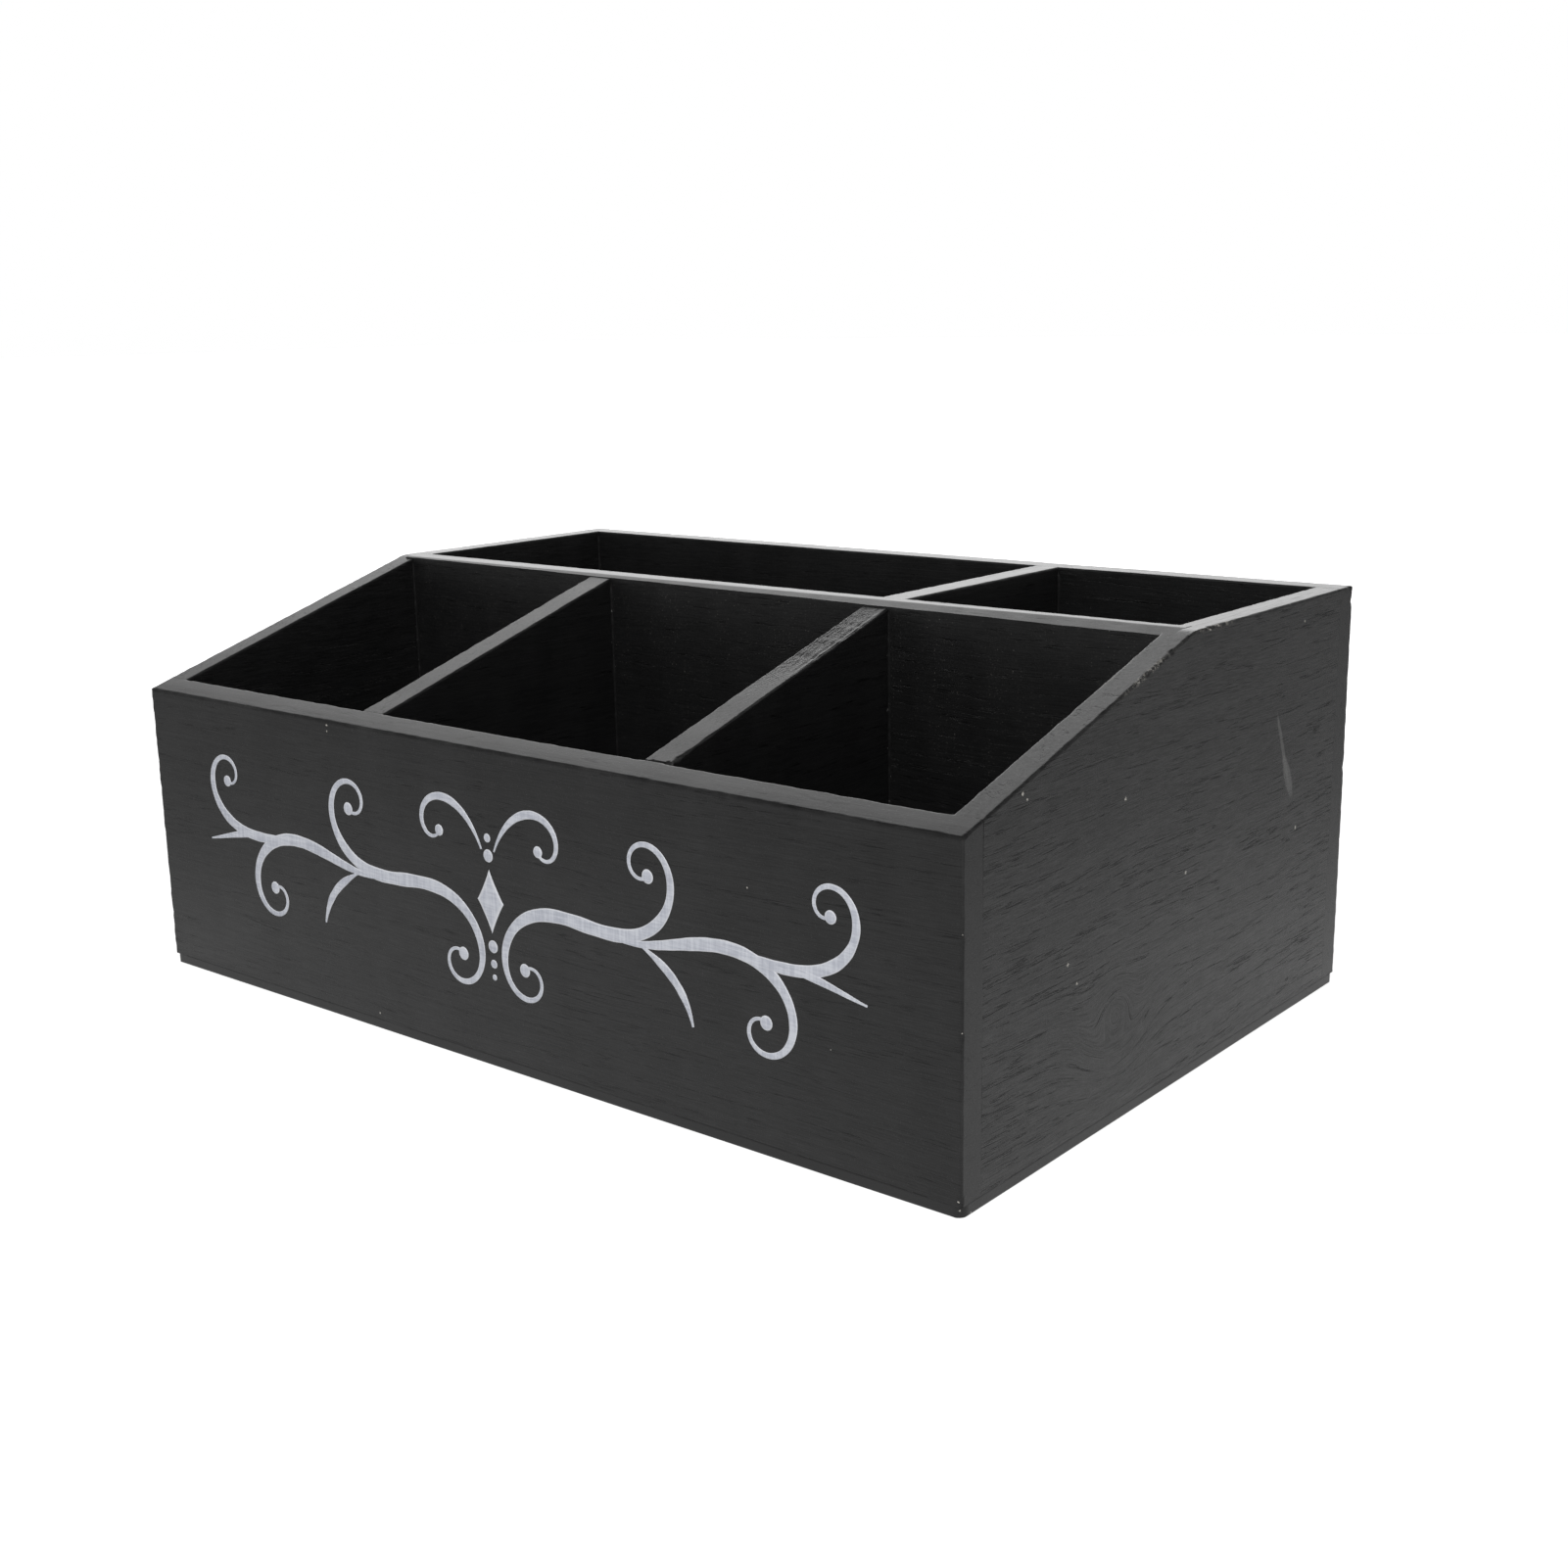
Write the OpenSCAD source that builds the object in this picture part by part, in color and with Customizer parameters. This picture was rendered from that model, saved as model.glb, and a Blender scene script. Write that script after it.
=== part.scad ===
// Countertop organizer for coffee supplies: an open box of painted boards with a low front,
// a high back, sides that slope up from the front, and dividers that make five cells.
// The front faces -Y, the box stands on z = 0 and its plan is centred on the origin.

/* [Box] */
// Overall width, across the front
box_w = 320; // [240:1:480]
// Overall depth, from the front face to the back face
box_d = 211; // [170:1:320]
// Height of the back and of the flat part of the sides
back_h = 126.5; // [104:0.5:200]
// Height of the front panel's front edge
front_h = 94; // [50:0.5:118]

/* [Cells] */
// Clear width of both outer front cells and of the narrow rear cell behind the right one
side_cell_w = 90; // [50:1:120]
// Clear depth of the front cells
front_cell_d = 98; // [60:1:140]

/* [Boards] */
// Thickness of the two side panels
side_t = 8.5; // [7:0.5:14]
// Thickness of the front panel
front_t = 8.5; // [7:0.5:14]
// Thickness of the back panel
back_t = 9; // [7:0.5:14]
// Thickness of the divider that runs the full width
long_divider_t = 9; // [7:0.5:14]
// Thickness of the divider between the two rear cells
rear_divider_t = 9; // [6:0.5:14]
// Thickness of the two dividers between the front cells
front_divider_t = 9.5; // [6:0.5:14]
// Thickness of the sheet that closes the bottom
floor_t = 3; // [2:0.5:6]

/* [Edges] */
// Width of the bevel that the slope of the sides carries onto the long divider's front edge
bevel_w = 2.5; // [1:0.5:5]
// How far the left front divider's top lies under the slope
left_divider_drop = 0.2; // [0:0.1:4]
// How far the right front divider's top lies under the slope
right_divider_drop = 1; // [0:0.1:4]
// Radius of the sanded board edges
edge_r = 0.8; // [0.3:0.1:1.5]
// Radius of the bottom sheet's corners, seen from above
floor_corner_r = 3; // [1:0.5:6]

/* [Joints] */
// Depth of the grooves in the side panels that hold the long divider's ends
groove_depth = 4; // [2:0.5:5]
// Glue gap on each face of the long divider inside its grooves
groove_fit = 0.1; // [0.05:0.05:0.3]
// Gap between the long divider's end and the bottom of its groove
groove_end_gap = 0.3; // [0.1:0.1:1]

/* [Brads] */
// Shank diameter of every brad
brad_d = 1.2; // [0.8:0.1:1.6]
// Head diameter of every brad
brad_head_d = 2; // [1.8:0.1:3]
// Height of a brad's head
brad_head_h = 0.6; // [0.4:0.1:1]
// Length of the brads in the upright joints
brad_l = 25; // [18:1:32]
// Length of the brads that hold the bottom sheet
floor_brad_l = 15; // [10:1:20]
// How deep the heads of the upright joints' brads lie under the painted face
brad_set = 1; // [0.5:0.1:1.5]
// How deep the heads of the bottom sheet's brads lie under the underside
floor_brad_set = 0.4; // [0.2:0.1:1]
// Gap round a brad in its hole
brad_fit = 0.05; // [0.02:0.01:0.2]
// Distance from the end of a joint to its first brad
brad_margin = 12; // [8:1:20]

/* [Hidden] */
$fn = 48;

paint = "#2b2b2b";
sheet_paint = "#333333";
steel = "#b4b8bc";

// Faces of the boards
left_x = -box_w / 2;
right_x = box_w / 2;
front_y = -box_d / 2;
back_y = box_d / 2;
inner_right_x = right_x - side_t;
inner_front_y = front_y + front_t;
inner_back_y = back_y - back_t;
long_front_y = inner_front_y + front_cell_d;
long_back_y = long_front_y + long_divider_t;
side_mid_x = right_x - side_t / 2;
long_mid_y = (long_front_y + long_back_y) / 2;

// The plane that cuts the tops of the front panel, the sides and the front dividers
bend_y = long_front_y + bevel_w;
slope = (back_h - front_h) / (bend_y - front_y);
function slope_z(y) = front_h + slope * (y - front_y);

// Middles of the short dividers
front_divider_x = inner_right_x - side_cell_w - front_divider_t / 2;
rear_divider_x = inner_right_x - side_cell_w - rear_divider_t / 2;

// How far a cutter reaches past the face that it cuts, and how far a rounding cutter does,
// as a share of its radius
past = 1;
spill = 0.3;

// Evenly spread places from a to b
function spread(count, a, b) = [for (i = [0:count - 1]) a + (b - a) * i / (count - 1)];
function unit(v) = v / norm(v);

// What rounding a corner takes away: p is the corner, and its two sides run towards a and b
module corner_waste(p, a, b, r) {
    along_a = unit(a - p);
    along_b = unit(b - p);
    half = acos(along_a * along_b) / 2;
    centre = p + unit(along_a + along_b) * r / sin(half);
    touch_a = p + along_a * r / tan(half);
    touch_b = p + along_b * r / tan(half);
    difference() {
        polygon([
            centre,
            touch_a,
            touch_a + (touch_a - centre) * spill,
            p + (p - centre) * spill,
            touch_b + (touch_b - centre) * spill,
            touch_b
        ]);
        translate(centre) circle(r = r);
    }
}

// An outline with the corners of the given numbers rounded
module eased_outline(points, corners, r) {
    last = len(points) - 1;
    difference() {
        polygon(points);
        for (i = corners)
            corner_waste(points[i], points[i == 0 ? last : i - 1], points[i == last ? 0 : i + 1], r);
    }
}

// Carries an outline drawn in Y and Z along X, from x0 to x1
module along_x(x0, x1) {
    translate([x0, 0, 0]) rotate([90, 0, 90]) linear_extrude(x1 - x0) children();
}

// Carries an outline drawn in X and Z along Y, from y0 to y1
module along_y(y0, y1) {
    translate([0, y1, 0]) rotate([90, 0, 0]) linear_extrude(y1 - y0) children();
}

// Carries an outline drawn in X and Y along Z, from z0 to z1
module along_z(z0, z1) {
    translate([0, 0, z0]) linear_extrude(z1 - z0) children();
}

// Waste of the round along the top edge of a face at x whose board lies towards side,
// over a top that climbs from z0 at y0 to z1 at y1
module top_edge_waste(x, side, y0, z0, y1, z1) {
    climb = atan2(z1 - z0, y1 - y0);
    run = norm([y1 - y0, z1 - z0]);
    translate([x, y0, z0]) rotate([climb, 0, 0]) along_y(-past, run + past)
        corner_waste([0, 0], [side, 0], [0, -1], edge_r);
}

// Waste of the box's outer top edge, up the slope and along the flat, on both sides
module rim_waste() {
    for (m = [0, 1]) mirror([m, 0, 0]) {
        top_edge_waste(right_x, -1, front_y, front_h, bend_y, back_h);
        top_edge_waste(right_x, -1, bend_y, back_h, back_y, back_h);
    }
}

// Waste of an upright outer corner of the box at y, whose panel lies towards side
module upright_waste(y, side) {
    for (m = [0, 1]) mirror([m, 0, 0]) along_z(floor_t - past, back_h + past)
        corner_waste([right_x, y], [right_x - 1, y], [right_x, y + side], edge_r);
}

// A brad with the top of its head at the origin, pointing up
module brad(length) {
    cylinder(d = brad_head_d, h = brad_head_h);
    cylinder(d = brad_d, h = length);
}

// The hole that a brad fits in, open upwards from its head
module brad_hole(length) {
    translate([0, 0, -brad_fit]) cylinder(d = brad_head_d + 2 * brad_fit, h = brad_head_h + 2 * brad_fit);
    translate([0, 0, -brad_fit]) cylinder(d = brad_d + 2 * brad_fit, h = length + 3 * brad_fit);
}

// Heights of the brads in an upright joint that is as high as top
brad_low_z = floor_brad_set + floor_brad_l + brad_margin / 2;
function brad_rows(count, top) = spread(count, brad_low_z, top - brad_margin);

// Driven through the front panel into the sides and the front dividers
module at_front_panel_brads() {
    for (x = [-side_mid_x, side_mid_x, -front_divider_x, front_divider_x], z = brad_rows(3, front_h))
        translate([x, front_y + brad_set, z]) rotate([-90, 0, 0]) children();
}

// Driven through the back panel into the sides and the rear divider
module at_back_panel_brads() {
    for (x = [-side_mid_x, side_mid_x, rear_divider_x], z = brad_rows(4, back_h))
        translate([x, back_y - brad_set, z]) rotate([90, 0, 0]) children();
}

// Driven through the side panels into the ends of the long divider
module at_long_divider_brads() {
    for (m = [0, 1], z = brad_rows(3, back_h)) mirror([m, 0, 0])
        translate([right_x - brad_set, long_mid_y, z]) rotate([0, -90, 0]) children();
}

// Driven through the long divider into the rear ends of the front dividers
module at_front_divider_brads() {
    for (x = [-front_divider_x, front_divider_x], z = brad_rows(3, front_h))
        translate([x, long_back_y - brad_set, z]) rotate([90, 0, 0]) children();
}

// Driven up through the bottom sheet into every board that stands on it
module at_bottom_brads() {
    end_x = inner_right_x - brad_margin;
    end_y = [inner_front_y + brad_margin, inner_back_y - brad_margin];
    front_cell_y = [inner_front_y + 2 * brad_margin, long_front_y - 2 * brad_margin];
    rear_cell_y = [long_back_y + brad_margin, end_y[1]];
    panel_y = [front_y + front_t / 2, back_y - back_t / 2];
    places = concat(
        [for (x = spread(5, -end_x, end_x), y = panel_y) [x, y]],
        [for (x = spread(4, -end_x, end_x)) [x, long_mid_y]],
        [for (x = [-side_mid_x, side_mid_x], y = spread(4, end_y[0], end_y[1])) [x, y]],
        [for (x = [-front_divider_x, front_divider_x], y = front_cell_y) [x, y]],
        [for (y = rear_cell_y) [rear_divider_x, y]]
    );
    for (p = places) translate([p[0], p[1], floor_brad_set]) children();
}

module front_panel() {
    color(paint) difference() {
        along_x(left_x, right_x) eased_outline(
            [
                [front_y, floor_t], [inner_front_y, floor_t],
                [inner_front_y, slope_z(inner_front_y)], [front_y, front_h]
            ],
            [2, 3], edge_r);
        upright_waste(front_y, 1);
        rim_waste();
        at_front_panel_brads() brad_hole(brad_l);
        at_bottom_brads() brad_hole(floor_brad_l);
    }
}

module back_panel() {
    color(paint) difference() {
        along_x(left_x, right_x) eased_outline(
            [[inner_back_y, floor_t], [back_y, floor_t], [back_y, back_h], [inner_back_y, back_h]],
            [2, 3], edge_r);
        upright_waste(back_y, -1);
        rim_waste();
        at_back_panel_brads() brad_hole(brad_l);
        at_bottom_brads() brad_hole(floor_brad_l);
    }
}

// The right side panel without its holes, with its groove for the long divider
module side_board() {
    difference() {
        along_x(inner_right_x, right_x) polygon([
            [inner_front_y, floor_t], [inner_back_y, floor_t], [inner_back_y, back_h],
            [bend_y, back_h], [inner_front_y, slope_z(inner_front_y)]
        ]);
        rim_waste();
        top_edge_waste(inner_right_x, 1, inner_front_y, slope_z(inner_front_y), bend_y, back_h);
        top_edge_waste(inner_right_x, 1, bend_y, back_h, inner_back_y, back_h);
        translate([inner_right_x - past, long_front_y - groove_fit, floor_t - past])
            cube([groove_depth + past, long_divider_t + 2 * groove_fit, back_h]);
    }
}

module side_holes() {
    at_front_panel_brads() brad_hole(brad_l);
    at_back_panel_brads() brad_hole(brad_l);
    at_long_divider_brads() brad_hole(brad_l);
    at_bottom_brads() brad_hole(floor_brad_l);
}

module left_side() {
    color(paint) difference() {
        mirror([1, 0, 0]) side_board();
        side_holes();
    }
}

module right_side() {
    color(paint) difference() {
        side_board();
        side_holes();
    }
}

module long_divider() {
    reach = inner_right_x + groove_depth - groove_end_gap;
    color(paint) difference() {
        along_x(-reach, reach) eased_outline(
            [
                [long_front_y, floor_t], [long_back_y, floor_t], [long_back_y, back_h],
                [bend_y, back_h], [long_front_y, slope_z(long_front_y)]
            ],
            [2], edge_r);
        at_long_divider_brads() brad_hole(brad_l);
        at_front_divider_brads() brad_hole(brad_l);
        at_bottom_brads() brad_hole(floor_brad_l);
    }
}

module rear_divider() {
    half = rear_divider_t / 2;
    color(paint) difference() {
        along_y(long_back_y, inner_back_y) eased_outline(
            [
                [rear_divider_x - half, floor_t], [rear_divider_x + half, floor_t],
                [rear_divider_x + half, back_h], [rear_divider_x - half, back_h]
            ],
            [2, 3], edge_r);
        at_back_panel_brads() brad_hole(brad_l);
        at_bottom_brads() brad_hole(floor_brad_l);
    }
}

// A front divider with its middle at x and its top lying drop under the slope
module front_divider(x, drop) {
    half = front_divider_t / 2;
    front_z = slope_z(inner_front_y) - drop;
    rear_z = slope_z(long_front_y) - drop;
    color(paint) difference() {
        along_x(x - half, x + half) polygon([
            [inner_front_y, floor_t], [long_front_y, floor_t],
            [long_front_y, rear_z], [inner_front_y, front_z]
        ]);
        for (side = [-1, 1])
            top_edge_waste(x + side * half, -side, inner_front_y, front_z, long_front_y, rear_z);
        at_front_panel_brads() brad_hole(brad_l);
        at_front_divider_brads() brad_hole(brad_l);
        at_bottom_brads() brad_hole(floor_brad_l);
    }
}

module left_front_divider() {
    front_divider(-front_divider_x, left_divider_drop);
}

module right_front_divider() {
    front_divider(front_divider_x, right_divider_drop);
}

module bottom_sheet() {
    color(sheet_paint) difference() {
        along_z(0, floor_t) eased_outline(
            [[left_x, front_y], [right_x, front_y], [right_x, back_y], [left_x, back_y]],
            [0, 1, 2, 3], floor_corner_r);
        at_bottom_brads() translate([0, 0, -floor_brad_set - past])
            cylinder(d = brad_head_d + 2 * brad_fit, h = floor_brad_set + past + brad_head_h + brad_fit);
        at_bottom_brads() cylinder(d = brad_d + 2 * brad_fit, h = floor_t + past);
    }
}

module front_panel_brads() {
    color(steel) at_front_panel_brads() brad(brad_l);
}

module back_panel_brads() {
    color(steel) at_back_panel_brads() brad(brad_l);
}

module long_divider_brads() {
    color(steel) at_long_divider_brads() brad(brad_l);
}

module front_divider_brads() {
    color(steel) at_front_divider_brads() brad(brad_l);
}

module bottom_brads() {
    color(steel) at_bottom_brads() brad(floor_brad_l);
}

front_panel();
back_panel();
left_side();
right_side();
long_divider();
rear_divider();
left_front_divider();
right_front_divider();
bottom_sheet();
front_panel_brads();
back_panel_brads();
long_divider_brads();
front_divider_brads();
bottom_brads();
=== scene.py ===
"""Looks for a countertop organizer: a box of black painted boards with a low front, sloping sides and
dividers.

Every board is a skin of points worked out in millimetres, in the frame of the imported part, and written to
its mesh in metres.
"""

import math

import bpy
import numpy as np
from mathutils import Matrix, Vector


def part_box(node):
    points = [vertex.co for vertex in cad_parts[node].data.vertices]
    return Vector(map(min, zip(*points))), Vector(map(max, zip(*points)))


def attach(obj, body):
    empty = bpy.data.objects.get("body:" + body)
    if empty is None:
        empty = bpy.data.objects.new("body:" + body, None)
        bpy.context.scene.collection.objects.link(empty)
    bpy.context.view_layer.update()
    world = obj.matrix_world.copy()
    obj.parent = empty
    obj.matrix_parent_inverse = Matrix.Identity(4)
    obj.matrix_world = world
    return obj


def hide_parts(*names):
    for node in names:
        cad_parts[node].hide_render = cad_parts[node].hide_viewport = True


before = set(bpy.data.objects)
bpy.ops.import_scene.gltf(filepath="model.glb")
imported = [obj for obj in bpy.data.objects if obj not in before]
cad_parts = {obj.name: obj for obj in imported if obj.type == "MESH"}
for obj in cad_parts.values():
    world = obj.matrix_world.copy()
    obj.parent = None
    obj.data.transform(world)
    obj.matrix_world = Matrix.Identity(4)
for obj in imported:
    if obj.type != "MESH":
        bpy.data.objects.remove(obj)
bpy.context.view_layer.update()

MM = 0.001


def cad_block(node):
    """Lowest and highest corner of a node of the part, in millimetres."""
    low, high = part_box(node)
    return np.array(low) / MM, np.array(high) / MM


def extent(node, axis):
    """Where a node of the part begins and ends along an axis, to a thousandth of a millimetre."""
    return [round(float(corner[axis]), 3) for corner in cad_block(node)]


# The box's main places, in millimetres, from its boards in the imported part
FRONT_Y, INNER_FRONT_Y = extent("front_panel", 1)
INNER_BACK_Y, BACK_Y = extent("back_panel", 1)
SHEET_TOP, BACK_TOP = extent("back_panel", 2)
INNER_X, OUTER_X = extent("right_side", 0)
LONG_FRONT_Y, LONG_BACK_Y = extent("long_divider", 1)
FRONT_DIVIDER_NEAR, FRONT_DIVIDER_FAR = extent("right_front_divider", 0)
REAR_DIVIDER_NEAR, REAR_DIVIDER_FAR = extent("rear_divider", 0)
FRONT_DIVIDER_X = (FRONT_DIVIDER_NEAR + FRONT_DIVIDER_FAR) / 2
REAR_DIVIDER_X = (REAR_DIVIDER_NEAR + REAR_DIVIDER_FAR) / 2

# Places inside a board's outline: the top of the front edge, the bend of the sides, and the foot of their
# grooves
FRONT_TOP = 94.0
BEND_Y = 3.5
GROOVE_X = 155.5
SLOPE = (BACK_TOP - FRONT_TOP) / (BEND_Y - FRONT_Y)

# Between the long divider and each wall of its grooves
GLUE_GAP = 0.1

# How far each outer face lies inside the box of the part; the front leaves room for the raised scrolls
SKIN_DEPTH = {"front": 0.22, "back": 0.06, "left": 0.06, "right": 0.06, "bottom": 0.0}
SKIN_WAVE = 0.05
SKIN_WAVE_SPAN = 70
SKIN_SEED = {"front": 3, "back": 5, "left": 7, "right": 11, "bottom": 13}

# Radius of an eased edge that another board meets, and of one along a hairline joint
JOINT = 0.03
HAIRLINE = 0.08

# Over how many millimetres an eased edge closes up beside a board that meets it
CLOSING = 0.8

# Each face of a block: the axis that it faces along, and the side
FACES = {
    "left": (0, -1), "right": (0, 1),
    "front": (1, -1), "back": (1, 1),
    "bottom": (2, -1), "top": (2, 1),
}


def wander(s, seed, span):
    """An uneven wobble between about -1 and 1 along s: the sum of seven sines, 0.3 to 1.6 spans long,
    that start anywhere."""
    dice = np.random.default_rng(seed)
    lengths = span * dice.uniform(0.3, 1.6, 7)
    starts = dice.uniform(0, 2 * np.pi, 7)
    return np.sin(2 * np.pi * np.asarray(s)[..., None] / lengths + starts).sum(-1) / 3.5


def swell(u, v, seed, span):
    """Slow waves over a face, between about -1 and 1: the sum of eight sines that run in eight
    directions."""
    dice = np.random.default_rng(seed)
    turns = dice.uniform(0, 2 * np.pi, 8)
    lengths = span * dice.uniform(0.4, 1.5, 8)
    starts = dice.uniform(0, 2 * np.pi, 8)
    along = np.asarray(u)[..., None] * np.cos(turns) + np.asarray(v)[..., None] * np.sin(turns)
    return np.sin(2 * np.pi * along / lengths + starts).sum(-1) / 4


def between(s, low, high, fade=1.0):
    """1 from low to high and 0 outside, with straight fades just inside both ends."""
    return np.clip((s - low) / fade, 0, 1) * np.clip((high - s) / fade, 0, 1)


def met(s, low, high):
    """1 where a board from low to high meets an edge along s, and 0 elsewhere."""
    return between(s, low, high, CLOSING)


def bump_at(s, place, reach):
    """A smooth hump of height 1 at the place, down to a third at the reach."""
    return np.exp(-(((s - place) / reach) ** 2))


def lower_of(a, b, soft):
    """The lower of two heights, the bend between them rounded: minus soft times the log of the sum of the
    exponentials of minus each height over soft."""
    return -soft * np.logaddexp(-a / soft, -b / soft)


def slope_height(y):
    """Height of the sloping rim: a straight rise from the front to the bend, then level, with the bend
    smoothed over a few millimetres."""
    return lower_of(FRONT_TOP + SLOPE * (y - FRONT_Y), BACK_TOP, 0.22)


def spaced(low, high, step, fine=0.16, reach=1.3, marks=()):
    """Places from low to high: a density, high near both ends and near the marks, is summed and cut into
    equal parts."""
    s = np.linspace(low, high, 6001)
    near = np.minimum(s - low, high - s)
    density = 1 / step + np.exp(-((near / reach) ** 2)) / fine + 0.5 * np.exp(-near / (3 * reach))
    for place, width, gap in marks:
        density = density + bump_at(s, place, width) / gap
    total = np.concatenate([[0], np.cumsum((density[1:] + density[:-1]) / 2 * np.diff(s))])
    return np.interp(np.linspace(0, total[-1], math.ceil(total[-1]) + 1), total, s)


def block_skin(xs, ys, zs):
    """The skin of a block: the points of the grid xs by ys by zs that lie on its outside, and the quads
    between them, facing out."""
    shape = (len(xs), len(ys), len(zs))
    places = np.indices(shape)
    i, j, k = places
    outside = np.any([(place == 0) | (place == count - 1) for place, count in zip(places, shape)], axis=0)
    number = np.where(outside, np.cumsum(outside).reshape(shape) - 1, -1)
    points = np.stack([xs[i[outside]], ys[j[outside]], zs[k[outside]]], axis=1)

    def sheet(grid, turned):
        quads = np.stack([grid[:-1, :-1], grid[1:, :-1], grid[1:, 1:], grid[:-1, 1:]], -1).reshape(-1, 4)
        return quads[:, ::-1] if turned else quads

    faces = [
        sheet(number[0], True), sheet(number[-1], False),
        sheet(number[:, 0], False), sheet(number[:, -1], True),
        sheet(number[:, :, 0], True), sheet(number[:, :, -1], False),
    ]
    return points, np.concatenate(faces)


def depth_under(points, low, high, face):
    """How far each point lies inside the named face of the block from low to high."""
    axis, side = FACES[face]
    return side * ((high if side > 0 else low)[axis] - points[:, axis])


def ease_edges(points, low, high, easings):
    """Rounds the named edges. A point nearer than the radius to both faces of an edge, and outside the
    quarter circle that touches them, is drawn straight towards the circle's middle until it lies on
    it."""
    eased = points.copy()
    for (first, second), radius in easings.items():
        r = radius(points) if callable(radius) else radius
        gaps = [np.maximum(r - depth_under(eased, low, high, face), 0) for face in (first, second)]
        reach = np.hypot(*gaps)
        pull = np.where((gaps[0] > 0) & (gaps[1] > 0), np.minimum(r / np.maximum(reach, 1e-9), 1), 1)
        for gap, face in zip(gaps, (first, second)):
            axis, side = FACES[face]
            eased[:, axis] -= side * gap * (1 - pull)
    return eased


def rim_distance(points, low, high, easings):
    """How far each point is from the nearest edge that is eased in the open, for the wear along edges."""
    away = np.full(len(points), 99.0)
    for first, second in easings:
        depths = [depth_under(points, low, high, face) for face in (first, second)]
        away = np.minimum(away, np.hypot(*depths))
    return away


def skin_depth(face, u, v):
    """How far the skin of an outer face lies inside the box of the part: its own depth and slow waves."""
    return SKIN_DEPTH[face] + SKIN_WAVE * np.clip(1 + swell(u, v, SKIN_SEED[face], SKIN_WAVE_SPAN), 0, 2)


def sink_faces(points, low, high, faces):
    """Hand-sanded outer faces: each sinks by its skin depth and slow waves, fading out half way through
    the board. Boards that share a face of the box share its waves, so their joints stay flush."""
    sunk = points.copy()
    for face in faces:
        axis, side = FACES[face]
        half = (high[axis] - low[axis]) / 2
        share = np.clip(1 - depth_under(points, low, high, face) / half, 0, 1)
        u, v = (points[:, k] for k in range(3) if k != axis)
        sunk[:, axis] -= side * share * skin_depth(face, u, v)
    return sunk


def lay_top(points, foot, block_top, top):
    """Moves the top of a block to a height that varies over it: all of the shift in the top 3 mm, none at
    the foot."""
    share = np.clip((points[:, 2] - foot) / (block_top - 3 - foot), 0, 1)
    laid = points.copy()
    laid[:, 2] += (top - block_top) * share
    return laid


def tube_faces(rings, around, start):
    """The quads between rings of points that close on themselves, and a cap over each end. The points
    count up from start."""
    ids = start + np.arange(rings * around).reshape(rings, around)
    onward = np.roll(ids, -1, axis=1)
    quads = np.stack([ids[:-1], onward[:-1], onward[1:], ids[1:]], -1).reshape(-1, 4)
    return quads.tolist() + [ids[0][::-1].tolist(), ids[-1].tolist()]


def join_shells(grids):
    """Points and faces of several closed shells, each a grid of rings by points around. A shell whose
    signed volume, the sum over its quads of a corner dotted with the cross product of the diagonals, is
    negative is turned inside out."""
    points, faces, start = [], [], 0
    for grid in grids:
        rings, around = grid.shape[:2]
        middle = grid.reshape(-1, 3).mean(0)
        onward = np.roll(grid, -1, axis=1)
        volume = np.sum((grid[:-1] - middle) * np.cross(onward[1:] - grid[:-1], grid[1:] - onward[:-1]))
        made = tube_faces(rings, around, start)
        faces += made if volume > 0 else [face[::-1] for face in made]
        points.append(grid.reshape(-1, 3))
        start += rings * around
    return np.concatenate(points), faces


def piece(name, points, faces, finish, slot, stands_for=(), smooth=38, **facts):
    """A mesh object from points in millimetres and faces, with its facts as attributes of its points. It
    rides on the box."""
    mesh = bpy.data.meshes.new(name)
    mesh.from_pydata((points * MM).tolist(), [], faces.tolist() if hasattr(faces, "tolist") else faces)
    mesh.shade_smooth()
    mesh.set_sharp_from_angle(angle=math.radians(smooth))
    for fact, values in facts.items():
        mesh.attributes.new(fact, "FLOAT", "POINT").data.foreach_set("value", values.astype(np.float32))
    mesh.materials.append(finish)
    made = bpy.data.objects.new(name, mesh)
    bpy.context.scene.collection.objects.link(made)
    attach(made, "root")
    if stands_for:
        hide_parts(*stands_for)
    return made


# Finishes


class Tone:
    """A socket of a finish. Sums, products and powers of tones add Math nodes, so a finish reads as a
    formula."""

    def __init__(self, finish, socket):
        self.finish = finish
        self.socket = socket

    def math(self, operation, *terms):
        return self.finish.node("ShaderNodeMath", {"operation": operation}, dict(enumerate(terms)))

    def __add__(self, other):
        return self.math("ADD", self, other)

    def __sub__(self, other):
        return self.math("SUBTRACT", self, other)

    def __mul__(self, other):
        return self.math("MULTIPLY", self, other)

    def __truediv__(self, other):
        return self.math("DIVIDE", self, other)

    def __rsub__(self, other):
        return self.math("SUBTRACT", other, self)

    __radd__ = __add__
    __rmul__ = __mul__

    def most(self, other):
        return self.math("MAXIMUM", self, other)

    def size(self):
        return self.math("ABSOLUTE", self)

    def fading(self):
        """e to the power of minus this."""
        return self.math("EXPONENT", self * -1)

    def rising(self, low, high):
        """A smooth step from 0 at low to 1 at high; low may be the larger one, for a step down."""
        return self.finish.node(
            "ShaderNodeMapRange", {"interpolation_type": "SMOOTHSTEP"},
            {"Value": self, "From Min": low, "From Max": high})

    def output(self, name):
        """Another output of the same node."""
        return Tone(self.finish, self.socket.node.outputs[name])


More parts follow.
